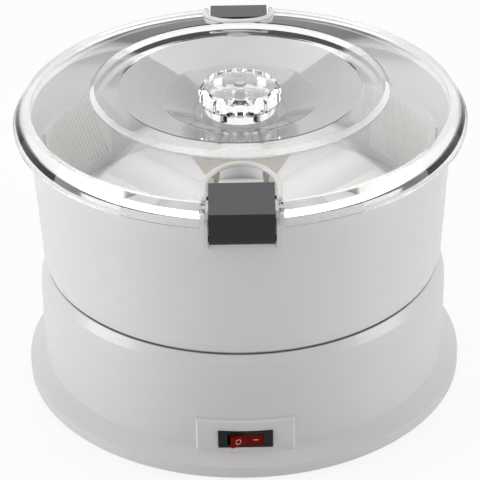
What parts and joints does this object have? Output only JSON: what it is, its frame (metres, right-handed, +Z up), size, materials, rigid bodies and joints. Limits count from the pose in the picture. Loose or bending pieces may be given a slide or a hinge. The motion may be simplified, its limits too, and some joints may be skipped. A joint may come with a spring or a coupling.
{
  "type": "electric potato peeler",
  "caption": "Round countertop electric potato peeler: lift-off bowl with abrasive disc on a motor base, clear lid held by hinged clips, rocker switch.",
  "frame": {"origin": "on the table under the axis of the peeling disc", "axes": "+Z up, the switch and the front clip face -Y"},
  "size_m": [0.2646, 0.2684, 0.1885],
  "materials": {
    "housing": "satin",
    "bowl_plastic": "gloss",
    "panel_plastic": "satin",
    "disc_plastic": "satin",
    "abrasive": "rough grit",
    "clear": "polished",
    "clip_plastic": "fine texture",
    "red": "gloss",
    "black": "satin",
    "case_plastic": "moulded",
    "gear_plastic": "moulded",
    "brass": "machined",
    "copper": "wound",
    "bronze": "sintered",
    "steel": "machined",
    "foot_plastic": "moulded"
  },
  "bodies": {
    "base": {"base_housing": "housing", "base_plate": "housing", "foot_front_left": "foot_plastic", "foot_front_right": "foot_plastic", "foot_rear_left": "foot_plastic", "foot_rear_right": "foot_plastic", "base_plate_screws": "steel", "cable_gland": "black", "switch_body": "black", "switch_tabs": "brass", "gear_case": "case_plastic", "gear_case_screws": "steel", "lower_bush": "bronze", "upper_bearing": "steel", "stator_core": "steel", "winding_upper": "copper", "winding_lower": "copper", "motor_bracket_upper": "steel", "motor_bracket_lower": "steel", "motor_bolts": "steel"},
    "rotor": {"motor_rotor": "steel", "motor_pinion": "brass", "cooling_fan": "black"},
    "drive": {"output_shaft": "steel", "output_gear": "gear_plastic", "drive_hexagon": "gear_plastic"},
    "rocker": {"switch_rocker": "red"},
    "bowl": {"bowl": "bowl_plastic", "rasp_panel_left": "panel_plastic", "rasp_panel_right": "panel_plastic"},
    "disc": {"peeling_disc": "disc_plastic", "abrasive_pads": "abrasive"},
    "lid": {"lid": "clear"},
    "knob": {"lid_knob": "clear", "knob_retainer": "clear"},
    "clip_front": {"clip_front": "clip_plastic"},
    "clip_rear": {"clip_rear": "clip_plastic"}
  },
  "joints": [
    {"name": "bowl_lift", "type": "slide", "parent": "base", "child": "bowl", "axis": [0, 0, 1], "range_m": [0, 0.04]},
    {"name": "disc_spin", "type": "hinge", "parent": "bowl", "child": "disc", "pos_m": [0, 0, 0.0848], "axis": [0, 0, 1], "continuous": true},
    {"name": "drive_spin", "type": "hinge", "parent": "base", "child": "drive", "pos_m": [0, 0, 0.0848], "axis": [0, 0, 1], "continuous": true},
    {"name": "rotor_spin", "type": "hinge", "parent": "base", "child": "rotor", "pos_m": [0, 0.0525, 0.04], "axis": [0, 0, 1], "continuous": true},
    {"name": "rocker_tilt", "type": "hinge", "parent": "base", "child": "rocker", "pos_m": [0, -0.1221, 0.0249], "axis": [0, 0, -1], "range_deg": [0, 22]},
    {"name": "lid_lift", "type": "slide", "parent": "bowl", "child": "lid", "axis": [0, 0, 1], "range_m": [0, 0.04]},
    {"name": "knob_turn", "type": "hinge", "parent": "lid", "child": "knob", "pos_m": [0, 0, 0.1715], "axis": [0, 0, 1], "continuous": true},
    {"name": "clip_front_swing", "type": "hinge", "parent": "bowl", "child": "clip_front", "pos_m": [0, -0.1309, 0.1609], "axis": [1, 0, 0], "range_deg": [0, 120]},
    {"name": "clip_rear_swing", "type": "hinge", "parent": "bowl", "child": "clip_rear", "pos_m": [0, 0.1309, 0.1609], "axis": [-1, 0, 0], "range_deg": [0, 120]}
  ],
  "couplings": [
    {"joint": "drive_spin", "follows": "disc_spin", "ratio": 1},
    {"joint": "rotor_spin", "follows": "disc_spin", "ratio": -4},
    {"joint": "clip_front_swing", "follows": "lid_lift", "rad_per_m": 52.35},
    {"joint": "clip_rear_swing", "follows": "lid_lift", "rad_per_m": 52.35}
  ]
}
